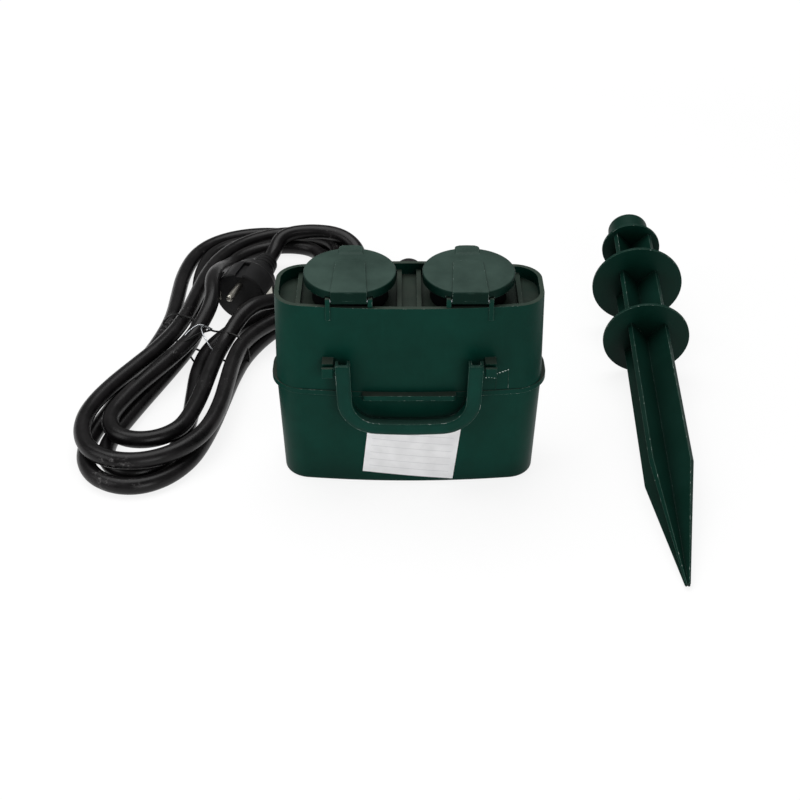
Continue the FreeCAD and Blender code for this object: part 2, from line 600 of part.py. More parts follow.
# Spike: tapered cross blades with three discs and a hollow stub, laid on the floor beside the box
def cross_outline(half, thick, z):
    t = thick / 2
    quarter = [(half, -t), (half, t), (t, t)]
    points = []
    for turn in range(4):
        for px, py in quarter:
            for _ in range(turn):
                px, py = -py, px
            points.append(V(px, py, z))
    return Part.makePolygon(points + [points[0]])


spike = Part.makeLoft([cross_outline(TIP_HALF, TIP_THICK, 0), cross_outline(ARM_HALF, ARM_THICK, SPIKE_TAPER)],
                      True, True)
blade = Part.Face(cross_outline(ARM_HALF, ARM_THICK, SPIKE_TAPER))
spike = spike.fuse(blade.extrude(Z * (DISCS[2][0] - SPIKE_TAPER)))
for distance, radius in DISCS:
    disc = upright(radius, 0, 0, (distance - DISC_THICK / 2, distance + DISC_THICK / 2))
    spike = spike.fuse(disc.makeFillet(0.6, disc.Edges[0:1]))
stub_z = (DISCS[2][0], SPIKE_LENGTH)
spike = spike.fuse(upright(STUB_R, 0, 0, stub_z))
spike = spike.cut(upright(STUB_BORE_R, 0, 0, (stub_z[0] + DISC_THICK / 2, stub_z[1] + 1)))
spike = spike.removeSplitter()
arm_drop = (ARM_HALF + ARM_THICK / 2) * math.sqrt(0.5)
spike_tilt = math.atan2(DISCS[0][1] - arm_drop, DISCS[0][0] - DISC_THICK / 2 - SPIKE_TAPER)
tip_z = arm_drop * math.cos(spike_tilt) - SPIKE_TAPER * math.sin(spike_tilt)
spike.rotate(V(0, 0, 0), Z, 45)
spike.rotate(V(0, 0, 0), X, -(90 - math.degrees(spike_tilt)))
spike.rotate(V(0, 0, 0), Z, -SPIKE_YAW)
spike.translate(V(SPIKE_TIP_X, SPIKE_TIP_Y, tip_z))
save("spike", spike)
print("spike lowest", lowest(spike), "tip height", round(tip_z, 2))

# Hank axes in the room
along = V(math.sin(math.radians(HANK_TURN)), math.cos(math.radians(HANK_TURN)), 0)
across = V(along.y, -along.x, 0)


def on_hank(s, w, z):
    return V(HANK_X, HANK_Y, z) + along * s + across * w


# Station of the winding: two loops spiral in on the floor, two spiral out again on top of them
def station(k):
    half = HANK_LOOPS * HANK_STATIONS // 2
    layer = 1 if k >= half else 0
    turns = (2 * half - k if layer else k) / HANK_STATIONS
    z = CORD_R + layer * (CORD_D + LAYER_GAP)
    rear_s, rear_w, rear_step = REAR_SHOULDER[layer]
    front_s, front_w, front_step = FRONT_SHOULDER[layer]
    rear_w += rear_step * turns
    front_w += front_step * turns
    rear_end = REAR_END[layer][0] + REAR_END[layer][1] * turns
    front_end = FRONT_END[layer][0] + FRONT_END[layer][1] * turns
    shift = FRONT_SHIFT[layer]
    waist = WAIST_PLACES[min(k // 4, len(WAIST_PLACES) - 1)]
    places = ((rear_s, rear_w, along), (rear_end, 0, -across), (rear_s, -rear_w, -along), (0, waist, -along),
              (front_s, shift - front_w, -along), (front_end, shift, across), (front_s, shift + front_w, along),
              (0, waist, along))
    s, w, way = places[k % HANK_STATIONS]
    lift = WAIST_LIFT if s == 0 else 0
    return on_hank(s, w, z + lift), way


# Half of a biarc, from its start along its tangent to the joint
def tangent_arc(start, way, joint):
    chord = joint - start
    cosine = min(1.0, chord.normalize().dot(way))
    chord = joint - start
    swing = math.acos(cosine)
    if swing < 1e-4:
        return line(start, joint)
    side = (way - chord * (way.dot(chord) / chord.dot(chord))).normalize()
    sagitta = chord.Length / 2 * math.tan(swing / 2)
    return arc(start, start + chord * 0.5 + side * sagitta, joint)


def biarc(start, start_way, end, end_way):
    chord = end - start
    both = start_way + end_way
    spread = 2 * (1 - start_way.dot(end_way))
    pull = chord.dot(both)
    if spread < 1e-9:
        reach = chord.dot(chord) / (4 * chord.dot(start_way))
    else:
        reach = (math.sqrt(pull**2 + spread * chord.dot(chord)) - pull) / spread
    first = start + start_way * reach
    second = end - end_way * reach
    joint = (first + second) * 0.5
    back = tangent_arc(end, -end_way, joint)
    middle = back.valueAt((back.FirstParameter + back.LastParameter) / 2)
    return [tangent_arc(start, start_way, joint), arc(joint, middle, end)]


# Tube along a middle line, its volume set against its section times its length
def tube(name, edges, start, way):
    spine = Part.Wire(edges)
    section = Part.Wire([Part.Circle(start, way, CORD_R).toShape()])
    solid = spine.makePipeShell([section], True, False)
    expected = math.pi * CORD_R**2 * spine.Length
    print(name, "length", round(spine.Length, 1), "volume share", round(solid.Volume / expected, 4))
    print(name, "lowest", lowest(solid))
    save(name, solid)
    return spine


# Straight runs joined by tangent arcs
def route(points):
    radii = []
    for before, corner, after in zip(points, points[1:], points[2:]):
        into = corner - before
        out = after - corner
        radii.append(ARC_SHARE * min(into.Length, out.Length) / math.tan(into.getAngle(out) / 2))
    print("bend radii in cord diameters", [round(radius / CORD_D, 1) for radius in radii])
    return rounded_path(points, radii)


def least_self_gap(spine, spacing, apart):
    points = spine.discretize(Distance=spacing)
    skip = int(apart / spacing)
    least = min((p - q).Length for i, p in enumerate(points) for q in points[i + skip:])
    return least - CORD_D


last_station = HANK_LOOPS * HANK_STATIONS
stations = [station(k) for k in range(last_station + 1)]
hank_start = stations[0][0] - along * CORD_D
hank_end = stations[-1][0] + along * CORD_D
winding = [line(hank_start, stations[0][0])]
for (start, start_way), (end, end_way) in zip(stations, stations[1:]):
    winding += biarc(start, start_way, end, end_way)
winding.append(line(stations[-1][0], hank_end))
hank_spine = tube("cord_hank", winding, hank_start, along)
print("hank least gap to itself", round(least_self_gap(hank_spine, 4.0, 4 * CORD_D), 2))

lead_points = [gland_mouth] + [V(*p) for p in LEAD_POINTS] + [hank_start]
lead_spine = tube("cord_lead", route(lead_points), gland_mouth, sleeve_way)
plug_z = PLUG_R
boot_end = on_hank(PLUG_S + BOOT_SPAN[1], PLUG_W, plug_z)
plug_lead_points = [hank_end] + [on_hank(*p) for p in PLUG_LEAD_POINTS] + [boot_end]
plug_lead_spine = tube("cord_plug_lead", route(plug_lead_points), hank_end, along)
lengths = [hank_spine.Length, lead_spine.Length, plug_lead_spine.Length]
print("cord length in all", round(sum(lengths), 1))


# Plug, made standing on its face with the pin pair along X, then laid among the loops
def lay_plug(shape):
    face = on_hank(PLUG_S, PLUG_W, plug_z)
    shape.Placement = FreeCAD.Placement(face, FreeCAD.Rotation(Z, across, along, "ZXY"))
    return shape


def turned(profile):
    points = [V(0, 0, profile[0][0])] + [V(r, 0, z) for z, r in profile] + [V(0, 0, profile[-1][0])]
    return polygon(points).revolve(V(0, 0, 0), Z, 360)


# Ribbed boot: each rib is a ruled loft through four circles on the boot's taper
def ribbed_boot():
    pitch = (BOOT_SPAN[1] - BOOT_SPAN[0]) / BOOT_RIBS
    solid = None
    for number in range(BOOT_RIBS):
        rings = []
        for share, lift in ((0, 0), (0.15, RIB_HEIGHT), (0.6, RIB_HEIGHT), (0.75, 0), (1, 0)):
            part = (number + share) / BOOT_RIBS
            radius = BOOT_R[0] + (BOOT_R[1] - BOOT_R[0]) * part + lift
            centre = V(0, 0, BOOT_SPAN[0] + pitch * (number + share))
            rings.append(Part.Wire([Part.Circle(centre, Z, radius).toShape()]))
        rib = Part.makeLoft(rings, True, True)
        solid = rib if solid is None else solid.fuse(rib)
    return solid


plug = turned(PLUG_PROFILE).fuse(ribbed_boot())
for side in (1, -1):
    slot_x = sorted((side * (PLUG_R - PLUG_SLOT[1]), side * (PLUG_R + 1)))
    plug = plug.cut(box(slot_x, (-PLUG_SLOT[0] / 2, PLUG_SLOT[0] / 2), (-1, PLUG_SLOT[2])))
    flat_y = sorted((side * (PLUG_R - PLUG_EARTH[1]), side * (PLUG_R + 1)))
    plug = plug.cut(box((-PLUG_EARTH[0] / 2, PLUG_EARTH[0] / 2), flat_y, (-1, PLUG_EARTH[2])))
    plug = plug.cut(upright(PLUG_PIN_R, side * half_pitch, 0, (-1, PLUG_PIN_ROOT)))
save("plug_body", lay_plug(plug))

pins = []
strips = []
for side in (1, -1):
    pin = upright(PLUG_PIN_R, side * half_pitch, 0, (-PLUG_PIN_LENGTH, PLUG_PIN_ROOT))
    tip_edges = [e for e in pin.Edges if e.BoundBox.ZMax < 0.01 - PLUG_PIN_LENGTH]
    pins.append(pin.makeFillet(PLUG_PIN_R * 0.6, tip_edges))
    strip_y = sorted((side * (PLUG_R - PLUG_EARTH[1]), side * (PLUG_R - PLUG_EARTH[1] + STRIP_THICK)))
    strip_x = (0.4 - PLUG_EARTH[0] / 2, PLUG_EARTH[0] / 2 - 0.4)
    strip = box(strip_x, strip_y, (-STRIP_THICK, PLUG_EARTH[2]))
    foot_y = sorted((side * (PLUG_R - 3 * PLUG_EARTH[1]), strip_y[0] if side > 0 else strip_y[1]))
    strips.append(strip.fuse(box(strip_x, foot_y, (-STRIP_THICK, 0))).removeSplitter())
save("plug_pins", lay_plug(Part.makeCompound(pins)))
save("plug_earth_strips", lay_plug(Part.makeCompound(strips)))

# Tie: a flat ring round the waist, clear of the loops that it gathers
tie_x = (min(WAIST_PLACES) - CORD_R - TIE_CLEAR, max(WAIST_PLACES) + CORD_R + TIE_CLEAR)
tie_z = (WAIST_LIFT - TIE_CLEAR, 2 * CORD_D + LAYER_GAP + WAIST_LIFT + TIE_CLEAR)


def tie_block(grow, half_width):
    block = box((tie_x[0] - grow, tie_x[1] + grow), (-half_width, half_width), (tie_z[0] - grow, tie_z[1] + grow))
    long_edges = [e for e in block.Edges if e.BoundBox.YLength > half_width]
    return block.makeFillet(TIE_CORNER_R + grow, long_edges)


tie = tie_block(TIE_WIRE, TIE_WIDTH / 2).cut(tie_block(0, TIE_WIDTH))
tie.rotate(V(0, 0, 0), Z, -HANK_TURN)
tie.translate(V(HANK_X, HANK_Y, 0))
save("cord_tie", tie)
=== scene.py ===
import math

import bmesh
import bpy
from mathutils import Matrix, Vector


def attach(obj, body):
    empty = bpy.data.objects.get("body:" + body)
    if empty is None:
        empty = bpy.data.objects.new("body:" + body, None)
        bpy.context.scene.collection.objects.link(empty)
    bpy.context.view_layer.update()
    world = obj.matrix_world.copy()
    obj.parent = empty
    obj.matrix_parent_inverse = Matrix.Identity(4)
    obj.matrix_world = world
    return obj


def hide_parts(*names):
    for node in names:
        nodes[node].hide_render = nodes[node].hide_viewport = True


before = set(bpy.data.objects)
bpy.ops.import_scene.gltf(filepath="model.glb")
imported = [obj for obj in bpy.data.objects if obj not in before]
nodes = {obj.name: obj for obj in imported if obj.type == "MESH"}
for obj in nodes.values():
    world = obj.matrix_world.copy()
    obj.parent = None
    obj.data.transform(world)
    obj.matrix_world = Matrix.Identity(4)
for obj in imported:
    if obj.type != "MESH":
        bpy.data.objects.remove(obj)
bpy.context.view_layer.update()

# Lower and upper housing: two halves of dark green polypropylene, injection moulded and screwed
# together from below. The moulding gives an even satin skin with soft clouds, rubbed and chipped
# at its edges, which also carry a painted highlight, with painted shade in its recesses, and dust
# with a painted sheen lies on the flat tops.
MM = 0.001
RUBBED_HIGHLIGHT_GREEN = "#5E7F73"
CHIPPED_GREEN = "#C3D2CB"
GREEN_DUST_AND_SHEEN = "#566A62"
GREY_DUST_AND_SHEEN = "#4B4C45"
CLOUD_MM = 34.0
RUB_MM = 5.0
CHIP_MM = 2.6
EDGE_MM = 0.5
CORNER_MM = 3.0
SHADE_REACH_MM = 30.0


def linear(hex_colour):
    values = []
    for place in (1, 3, 5):
        share = int(hex_colour[place:place + 2], 16) / 255
        values.append(share / 12.92 if share <= 0.04045 else ((share + 0.055) / 1.055) ** 2.4)
    return (*values, 1.0)


def add_node(material, kind, inputs=None, **settings):
    """A node with its settings. Each input is a value, an output or a node, whose first output is taken."""
    made = material.node_tree.nodes.new("ShaderNode" + kind)
    for name, value in settings.items():
        setattr(made, name, value)
    for name, value in (inputs or {}).items():
        if isinstance(value, bpy.types.Node):
            value = value.outputs[0]
        if isinstance(value, bpy.types.NodeSocket):
            material.node_tree.links.new(value, made.inputs[name])
        else:
            made.inputs[name].default_value = value
    return made


def new_material(name):
    material = bpy.data.materials.new(name)
    material.use_nodes = True
    material.node_tree.nodes.clear()
    return material


def moulded_plastic(name, colour, light_colour, roughness, grain_mm=0.9, bump_mm=0.1, level=0.07, dust=0.5,
                    wear_and_highlight=0.5, round_mm=EDGE_MM, recess_shade=0.5, dust_colour=GREEN_DUST_AND_SHEEN):
    """Plastic from a steel tool. Its grain is drawn coarser than the real one so that it shows."""
    material = new_material(name)
    coordinates = add_node(material, "TexCoord")
    place = coordinates.outputs["Object"]
    clouds = add_node(material, "TexNoise", {"Vector": place, "Scale": 1 / (CLOUD_MM * MM), "Detail": 4.0,
                                             "Roughness": 0.6})
    skin = add_node(material, "ValToRGB", {"Fac": clouds})
    for stop, at, tone in zip(skin.color_ramp.elements, (0.38, 0.72), (colour, light_colour)):
        stop.position = at
        stop.color = linear(tone)
    drawn_up = add_node(material, "Mapping", {"Vector": place, "Scale": (1.0, 1.0, 0.12)})
    rubs = add_node(material, "TexNoise", {"Vector": drawn_up, "Scale": 1 / (RUB_MM * MM), "Detail": 5.0,
                                           "Roughness": 0.7})
    rub_level = add_node(material, "MapRange", {"Value": rubs, "From Min": 0.56, "From Max": 0.8,
                                                "To Min": 0.0, "To Max": 0.5})
    skin = add_node(material, "MixRGB", {"Fac": rub_level, "Color1": skin, "Color2": linear(light_colour)})

    # Edges that stand out are rubbed pale in patches, both wear and a painted highlight, with small chips;
    # inner corners stay clean of both.
    sharp_edge = add_node(material, "Bevel", {"Radius": EDGE_MM * MM}, samples=4)
    soft_edge = sharp_edge
    if round_mm > EDGE_MM:
        soft_edge = add_node(material, "Bevel", {"Radius": round_mm * MM}, samples=6)
    true_face = add_node(material, "NewGeometry")
    turn = add_node(material, "VectorMath", {0: sharp_edge, 1: true_face.outputs["Normal"]},
                    operation="DOT_PRODUCT")
    edge = add_node(material, "MapRange", {"Value": turn.outputs["Value"], "From Min": 0.99,
                                           "From Max": 0.86, "To Min": 0.0, "To Max": wear_and_highlight})
    corner = add_node(material, "AmbientOcclusion", {"Distance": CORNER_MM * MM}, samples=4)
    outer = add_node(material, "MapRange", {"Value": corner.outputs["AO"], "From Min": 0.6,
                                            "From Max": 0.85})
    edge = add_node(material, "Math", {0: edge, 1: outer}, operation="MULTIPLY")
    patches = add_node(material, "MapRange", {"Value": rubs, "From Min": 0.35, "From Max": 0.62,
                                              "To Min": 0.25, "To Max": 1.0})
    rub_and_highlight = add_node(material, "Math", {0: edge, 1: patches}, operation="MULTIPLY")
    skin = add_node(material, "MixRGB", {"Fac": rub_and_highlight, "Color1": skin, "Color2": linear(RUBBED_HIGHLIGHT_GREEN)})
    spots = add_node(material, "TexNoise", {"Vector": place, "Scale": 1 / (CHIP_MM * MM), "Detail": 2.0})
    chips = add_node(material, "MapRange", {"Value": spots, "From Min": 0.6, "From Max": 0.64})
    chips = add_node(material, "Math", {0: chips, 1: edge}, operation="MULTIPLY")
    skin = add_node(material, "MixRGB", {"Fac": chips, "Color1": skin, "Color2": linear(CHIPPED_GREEN)})

    # Dust settles where the surface faces up, and there its pale tone is also a painted sheen.
    facing = add_node(material, "SeparateXYZ", {"Vector": coordinates.outputs["Normal"]})
    top_dust_and_sheen = add_node(material, "MapRange", {"Value": facing.outputs["Z"], "From Min": 0.55,
                                               "From Max": 0.98, "To Min": 0.0, "To Max": dust})
    settled_dust_and_sheen = add_node(material, "Math", {0: top_dust_and_sheen, 1: clouds}, operation="MULTIPLY")
    skin = add_node(material, "MixRGB", {"Fac": settled_dust_and_sheen, "Color1": skin, "Color2": linear(dust_colour)})
    # Painted shade: the colour is darkened in recesses, where little light gets in.
    openness = add_node(material, "AmbientOcclusion", {"Distance": SHADE_REACH_MM * MM}, samples=6)
    painted_shade = add_node(material, "MapRange", {"Value": openness.outputs["AO"], "From Min": 0.15,
                                            "From Max": 0.9, "To Min": 1 - recess_shade, "To Max": 1.0})
    skin = add_node(material, "MixRGB", {"Fac": 1.0, "Color1": skin, "Color2": painted_shade}, blend_type="MULTIPLY")

    rough = add_node(material, "MapRange", {"Value": clouds, "From Min": 0.3, "From Max": 0.7,
                                            "To Min": roughness - 0.06, "To Max": roughness + 0.07})
    grain = add_node(material, "TexNoise", {"Vector": place, "Scale": 1 / (grain_mm * MM), "Detail": 3.0})
    bump = add_node(material, "Bump", {"Height": grain, "Strength": 0.35, "Distance": bump_mm * MM,
                                       "Normal": soft_edge})
    shader = add_node(material, "BsdfPrincipled", {"Base Color": skin, "Roughness": rough, "Normal": bump,
                                                   "Specular IOR Level": level, "IOR": 1.49})
    add_node(material, "OutputMaterial", {"Surface": shader})
    return material


def dress(node, material):
    piece = nodes[node]
    piece.data.materials.clear()
    piece.data.materials.append(material)


housing_green = moulded_plastic("green_polypropylene_housing", "#043027", "#07392F", 0.40, dust=1.0,
                                recess_shade=0.6, dust_colour=GREY_DUST_AND_SHEEN)
dress("lower_housing", housing_green)
dress("upper_housing", housing_green)

# Gasket: a flat ring of black EPDM laid in the seam and pressed between the two halves, which
# hide it. The rubber gives a matt, slightly dusty black.
SCUFF_GREY = "#8C8A8A"
STREAK_MM = 2.4
SCUFF_PATCH_MM = 38.0
RUBBER_GRAIN_MM = 0.7


def soft_rubber(name, colour, dust_colour, roughness, spot_mm, scuff=0.0):
    """Rubber with dusty clouds and pale scuffs. Its grain is drawn coarser than real so that it shows."""
    material = new_material(name)
    place = add_node(material, "TexCoord").outputs["Object"]
    dust = add_node(material, "TexNoise", {"Vector": place, "Scale": 1 / (spot_mm * MM), "Detail": 6.0,
                                           "Roughness": 0.65})
    skin = add_node(material, "ValToRGB", {"Fac": dust})
    for stop, at, tone in zip(skin.color_ramp.elements, (0.42, 0.74), (colour, dust_colour)):
        stop.position = at
        stop.color = linear(tone)
    streaks = add_node(material, "TexNoise", {"Vector": place, "Scale": 1 / (STREAK_MM * MM), "Detail": 6.0,
                                              "Roughness": 0.75})
    patches = add_node(material, "TexNoise", {"Vector": place, "Scale": 1 / (SCUFF_PATCH_MM * MM),
                                              "Detail": 1.0})
    both = add_node(material, "Math", {0: streaks, 1: patches}, operation="MULTIPLY")
    scuffs = add_node(material, "MapRange", {"Value": both, "From Min": 0.39, "From Max": 0.46,
                                             "To Min": 0.0, "To Max": scuff})
    skin = add_node(material, "MixRGB", {"Fac": scuffs, "Color1": skin, "Color2": linear(SCUFF_GREY)})
    rough = add_node(material, "MapRange", {"Value": dust, "From Min": 0.3, "From Max": 0.7,
                                            "To Min": roughness - 0.08, "To Max": roughness + 0.08})
    grain = add_node(material, "TexNoise", {"Vector": place, "Scale": 1 / (RUBBER_GRAIN_MM * MM),
                                            "Detail": 2.0})
    bump = add_node(material, "Bump", {"Height": grain, "Strength": 0.4, "Distance": 0.08 * MM})
    shader = add_node(material, "BsdfPrincipled", {"Base Color": skin, "Roughness": rough, "Normal": bump,
                                                   "Specular IOR Level": 0.2, "IOR": 1.52})
    add_node(material, "OutputMaterial", {"Surface": shader})
    return material


seal_rubber = soft_rubber("black_epdm_seal", "#1A1A1B", "#2A2A2B", 0.62, 6.0)
dress("housing_gasket", seal_rubber)

# Socket inserts and contact carrier: black polyamide, moulded with a dull tool finish, so that
# the wells look dark and even when a lid is up. The carrier is screwed under the deck.
# Painted shade darkens the wells, and a faint painted highlight runs along the edges.
insert_black = moulded_plastic("black_polyamide_insert", "#0C0D0E", "#151617", 0.5, grain_mm=0.7,
                               bump_mm=0.06, dust=0.2, wear_and_highlight=0.1)
for node in ("left_socket_insert", "right_socket_insert", "contact_carrier"):
    dress(node, insert_black)

# Contacts: two busbars of stamped brass with slit sleeves, and a nickel plated earth strip with
# its clips in the wells. The strip looks lightly stained, with faint lines from its rolling.
STAIN_MM = 3.0
ROLLING_MM = 0.25


def plated_metal(name, colour, dull_colour, roughness):
    """Rolled, stamped or turned metal. Its lines are drawn coarser than real so that they show."""
    material = new_material(name)
    place = add_node(material, "TexCoord").outputs["Object"]
    stain = add_node(material, "TexNoise", {"Vector": place, "Scale": 1 / (STAIN_MM * MM), "Detail": 4.0})
    skin = add_node(material, "ValToRGB", {"Fac": stain})
    for stop, at, tone in zip(skin.color_ramp.elements, (0.35, 0.7), (colour, dull_colour)):
        stop.position = at
        stop.color = linear(tone)
    drawn_out = add_node(material, "Mapping", {"Vector": place, "Scale": (0.1, 1.0, 1.0)})
    lines = add_node(material, "TexNoise", {"Vector": drawn_out, "Scale": 1 / (ROLLING_MM * MM),
                                            "Detail": 2.0})
    rough = add_node(material, "MapRange", {"Value": lines, "To Min": roughness - 0.08,
                                            "To Max": roughness + 0.12})
    bump = add_node(material, "Bump", {"Height": lines, "Strength": 0.2, "Distance": 0.02 * MM})
    shader = add_node(material, "BsdfPrincipled", {"Base Color": skin, "Metallic": 1.0, "Roughness": rough,
                                                   "Normal": bump})
    add_node(material, "OutputMaterial", {"Surface": shader})
    return material


contact_brass = plated_metal("stamped_brass", "#C9A35A", "#A98546", 0.32)
nickel = plated_metal("nickel_plated_brass", "#C9C6BD", "#ABA79D", 0.26)
dress("live_busbar", contact_brass)
dress("neutral_busbar", contact_brass)
dress("earth_strip", nickel)

# Screws and hinge pins: zinc plated steel, turned and headed, with a bluish grey shine. The
# screws hold the two halves and the carrier, and the pins are pushed into the upper housing.
zinc_steel = plated_metal("zinc_plated_steel", "#B9BCC0", "#8F9296", 0.36)
for node in ("housing_screws", "carrier_screws", "left_hinge_pin", "right_hinge_pin"):
    dress(node, zinc_steel)

# Lids: the same polypropylene, each on its own hinge pin, with a black rubber ring under it that
# closes on the collar. Their tops are pale with dust and a painted sheen, and painted shade darkens
# their skirts.
lid_green = moulded_plastic("green_polypropylene_lid", "#021D16", "#03251D", 0.47, grain_mm=0.8, dust=0.68,
                            recess_shade=0.9)
for side in ("left", "right"):
    dress(side + "_lid", lid_green)
    dress(side + "_lid_seal", seal_rubber)

# Thumb tabs: a thin raised pad on the rear edge of each lid, moulded in one with it, that stands
# out behind the disc so that a thumb can lift it. The crease is the pad's front edge.
SOCKET_X = 33.2
LID_TOP = 129.85
TAB_SIDE = ((7.2, 17.6), (7.1, 23.0), (7.0, 26.6), (6.4, 28.9), (4.8, 30.1), (0.0, 30.5))
TAB_SUNK = 1.9
TAB_RIM = 1.85
TAB_TOP = 0.5
TOP_INSET = 0.6
CREASE_INSET = 2.4
CREASE_TO = 22.0
TAB_HALF = 7.0
DROOP_FROM = 25.0
DROOP = 0.18


def add_piece(name, data, material):
    piece = bpy.data.objects.new(name, data)
    bpy.context.scene.collection.objects.link(piece)
    data.materials.append(material)
    return piece


def mesh_piece(name, bm, material):
    mesh = bpy.data.meshes.new(name)
    bm.to_mesh(mesh)
    bm.free()
    return add_piece(name, mesh, material)


def raise_top(bm, face, height):
    """The face, drawn up on walls of its own."""
    drawn = bmesh.ops.extrude_face_region(bm, geom=[face, *face.edges])["geom"]
    top = [item for item in drawn if isinstance(item, bmesh.types.BMFace)][0]
    bmesh.ops.translate(bm, vec=(0, 0, height * MM), verts=top.verts)
    return top


def thumb_tab(name, middle):
    """The pad's outline, drawn up to its rim and again to a top that is drawn in all round."""
    bm = bmesh.new()
    foot = []
    for x, y in TAB_SIDE + tuple((-x, y) for x, y in reversed(TAB_SIDE[:-1])):
        z = LID_TOP - TAB_SUNK - DROOP * max(0.0, y - DROOP_FROM)
        foot.append(bm.verts.new(Vector((middle + x, y, z)) * MM))
    rim = raise_top(bm, bm.faces.new(foot), TAB_RIM)
    top = raise_top(bm, rim, TAB_TOP)
    for vertex in top.verts:
        vertex.co.x -= (vertex.co.x - middle * MM) * TOP_INSET / TAB_HALF
        vertex.co.y += (CREASE_INSET if vertex.co.y < CREASE_TO * MM else -TOP_INSET) * MM
    bmesh.ops.recalc_face_normals(bm, faces=bm.faces)
    return mesh_piece(name, bm, lid_green)


for side, middle in (("left", -SOCKET_X), ("right", SOCKET_X)):
    tab = thumb_tab(side + "_lid_tab", middle)
    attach(tab, side + "_lid")

# Carrying handle: a bail of green polypropylene, snapped into the open seats of the lugs, with a
# channel section open to the rear. Its front is well rounded and shiny from hands, its edges worn
# with a painted highlight along them, and painted shade darkens its hollows.
handle_green = moulded_plastic("green_polypropylene_handle", "#053229", "#083D33", 0.33, bump_mm=0.08,
                               level=0.08, dust=0.4, wear_and_highlight=1.0, round_mm=4.0)
dress("handle", handle_green)

# Ground spike: cross blades with three discs and a round stub, moulded in one in dark green
# polypropylene with a dull skin and rubbed edges that also carry a painted highlight, and painted
# shade darkens it between its blades and discs. It lies loose on the floor and plugs into the
# socket under the box.
spike_green = moulded_plastic("green_polypropylene_spike", "#02261D", "#042D24", 0.47, grain_mm=1.0,
                              bump_mm=0.12, level=0.1, dust=0.05, wear_and_highlight=0.8, recess_shade=0.9)
dress("spike", spike_green)

# Cable gland: a dull black rubber bush, pushed into the rear wall of the upper housing, with a
# long tapered sleeve that leads the cord down the back.
gland_rubber = soft_rubber("black_gland_rubber", "#111112", "#1F1F20", 0.55, 9.0)
dress("cable_gland", gland_rubber)

# Mains cord: three-core outdoor cable in a black rubber sheath with a low sheen and a few pale
# scuffs. It leaves the gland, comes down behind the box, lies in a tied hank of four loops and
# goes over to the plug.
CORD_R = 5.25
CORD_D = 2 * CORD_R
LAYER_GAP = 0.6
GLAND_ELBOW = Vector((0, 38, 106))
SLEEVE_LENGTH = 24.0
LEAD_POINTS = ((0, 78, 66), (-12, 105, 36), (-38, 140, 8), (-43.3, 175, 5.25))

# The hank's own axes are s, along it to the rear, and w, to its right. Each pair holds the lower
# and the upper layer, and the last number of a shoulder or an end is what each turn inward changes.
HANK_AT = Vector((-129.3, 107.8, 0))
HANK_TURN = math.radians(16.7)
HANK_LOOPS = 4
HANK_STATIONS = 8
REAR_SHOULDER = ((119, 63, -11.6), (95, 62, -11.5))
REAR_END = ((172.6, -11.4), (176.4, -21))
REAR_SHIFT = (-7, 14)
FRONT_SHOULDER = ((-105, 42.75, -13), (-92, 45.25, -15.5))
FRONT_END = ((-158.1, 13), (-149.3, 22))
FRONT_SHIFT = (0, -5)
WAIST_PLACES = (-40, 22, -18, -5, -13, 9, -27, 21)
WAIST_LIFT = 1.8
BEND_REACH = 1.17
SHARES = (0.25, 0.5, 0.75, 1.0)
NOT_MOVED = ((0, 0),) * len(SHARES)
PLUG_LEAD_POINTS = ((124, 62, 16.35), (138, 56, 22), (145, 40, 27.6), (143, 17, 27.7), (131, -1, 27.3),
                    (116, -2, 18.7), (105, -2, 18.5))
along = Vector((math.sin(HANK_TURN), math.cos(HANK_TURN), 0))
across = Vector((along.y, -along.x, 0))

# Two strands lie over the plug: after these stations each point is moved to the right and up.
OVER_PLUG = {18: ((0, 10), (0, 16), (6, 12), (0, 0)), 23: ((0, 13), (-2, 7), (0, 1), (0, 0))}


def on_hank(s, w, z):
    return HANK_AT + along * s + across * w + Vector((0, 0, z))


def hank_station(number):
    """One of the eight places that the cord passes on a loop, and the way it runs there."""
    half = HANK_LOOPS * HANK_STATIONS // 2
    layer = 1 if number >= half else 0
    turns = (2 * half - number if layer else number) / HANK_STATIONS
    rear_s, rear_w, rear_step = REAR_SHOULDER[layer]
    front_s, front_w, front_step = FRONT_SHOULDER[layer]
    rear_w += rear_step * turns
    front_w += front_step * turns
    rear_end = REAR_END[layer][0] + REAR_END[layer][1] * turns
    front_end = FRONT_END[layer][0] + FRONT_END[layer][1] * turns
    rear_shift = REAR_SHIFT[layer]
    front_shift = FRONT_SHIFT[layer]
    waist = WAIST_PLACES[min(2 * number // HANK_STATIONS, len(WAIST_PLACES) - 1)]
    places = ((rear_s, rear_w, along), (rear_end, rear_shift, -across),
              (rear_s, rear_shift - rear_w, -along), (0, waist, -along),
              (front_s, front_shift - front_w, -along), (front_end, front_shift, across),
              (front_s, front_shift + front_w, along), (0, waist, along))
    s, w, way = places[number % HANK_STATIONS]
    z = CORD_R + layer * (CORD_D + LAYER_GAP)
    return on_hank(s, w, z + (WAIST_LIFT if s == 0 else 0)), way


def hank_points():
    """Points on smooth curves from station to station, through all the loops."""
    stations = [hank_station(number) for number in range(HANK_LOOPS * HANK_STATIONS + 1)]
    points = [stations[0][0] - along * CORD_D, stations[0][0]]
    for number, ((start, start_way), (end, end_way)) in enumerate(zip(stations, stations[1:])):
        straight_on = start_way.dot(end_way) > 0.5
        reach = (end - start).length * (1.0 if straight_on else BEND_REACH)
        for t, (aside, lift) in zip(SHARES, OVER_PLUG.get(number, NOT_MOVED)):
            moved = across * aside + Vector((0, 0, lift))
            points.append(start * (2 * t**3 - 3 * t**2 + 1) + start_way * reach * (t**3 - 2 * t**2 + t)
                          + end * (3 * t**2 - 2 * t**3) + end_way * reach * (t**3 - t**2) + moved)
    points.append(stations[-1][0] + along * CORD_D)
    return points


